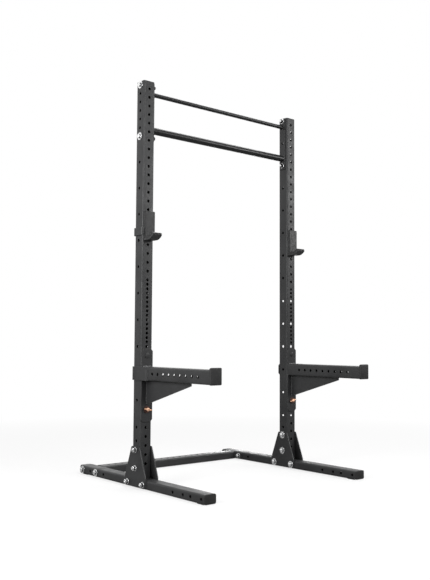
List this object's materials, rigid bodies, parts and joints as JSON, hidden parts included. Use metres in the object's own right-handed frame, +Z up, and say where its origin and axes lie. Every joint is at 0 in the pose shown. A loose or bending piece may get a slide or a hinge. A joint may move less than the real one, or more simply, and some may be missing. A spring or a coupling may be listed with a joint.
{
  "type": "squat rack",
  "caption": "Free-standing squat rack: drilled square posts on long feet with a rear crossmember, pull-up bars, bar cups that swing out and spotter arms with sliding pull pins",
  "frame": {"origin": "on the floor, at the middle of the rack's box seen from above", "axes": "+X across the rack to the right as one faces it from the front, +Y to the back, +Z up"},
  "size_m": [1.3014, 1.2764, 2.3432],
  "materials": {
    "powder_coat": "satin, finely textured",
    "bar_coat": "semi-gloss",
    "cap_plastic": "matt",
    "liner_plastic": "satin",
    "pad_rubber": "matt",
    "zinc": "bright zinc plate",
    "bronze": "satin"
  },
  "bodies": {
    "frame": {"arm_hook_pins": "powder_coat", "bar_bolts": "zinc", "bar_nuts": "zinc", "crossmember_bolts": "zinc", "crossmember_nuts": "zinc", "foot_caps": "cap_plastic", "foot_pads": "pad_rubber", "gusset_bolts": "zinc", "gusset_nuts": "zinc", "left_arm_bracket": "powder_coat", "left_arm_end_cap": "cap_plastic", "left_arm_gusset": "powder_coat", "left_arm_tube": "powder_coat", "left_arm_wrap": "powder_coat", "left_bar_flange": "powder_coat", "left_crossmember_flange": "powder_coat", "left_foot": "powder_coat", "left_inner_gusset": "powder_coat", "left_outer_gusset": "powder_coat", "left_upright": "powder_coat", "pull_pin_collars": "powder_coat", "rear_crossmember": "powder_coat", "right_arm_bracket": "powder_coat", "right_arm_end_cap": "cap_plastic", "right_arm_gusset": "powder_coat", "right_arm_tube": "powder_coat", "right_arm_wrap": "powder_coat", "right_bar_flange": "powder_coat", "right_crossmember_flange": "powder_coat", "right_foot": "powder_coat", "right_inner_gusset": "powder_coat", "right_outer_gusset": "powder_coat", "right_upright": "powder_coat", "thick_pull_up_bar": "bar_coat", "thin_pull_up_bar": "bar_coat", "upright_caps": "cap_plastic"},
    "left_cup": {"left_cup_body": "powder_coat", "left_cup_liner": "liner_plastic", "left_cup_hook_pin": "powder_coat"},
    "right_cup": {"right_cup_body": "powder_coat", "right_cup_liner": "liner_plastic", "right_cup_hook_pin": "powder_coat"},
    "left_pin": {"left_pull_pin": "bronze"},
    "right_pin": {"right_pull_pin": "bronze"}
  },
  "joints": [
    {"name": "left_cup_swing", "type": "hinge", "parent": "frame", "child": "left_cup", "pos_m": [-0.5842, 0.02223, 1.53353], "axis": [0, 1, 0], "range_deg": [0, 90]},
    {"name": "left_pull_pin_slide", "type": "slide", "parent": "frame", "child": "left_pin", "axis": [0, -1, 0], "range_m": [0, 0.016]},
    {"name": "right_cup_swing", "type": "hinge", "parent": "frame", "child": "right_cup", "pos_m": [0.5842, 0.02223, 1.53353], "axis": [0, -1, 0], "range_deg": [0, 90]},
    {"name": "right_pull_pin_slide", "type": "slide", "parent": "frame", "child": "right_pin", "axis": [0, -1, 0], "range_m": [0, 0.016]}
  ]
}
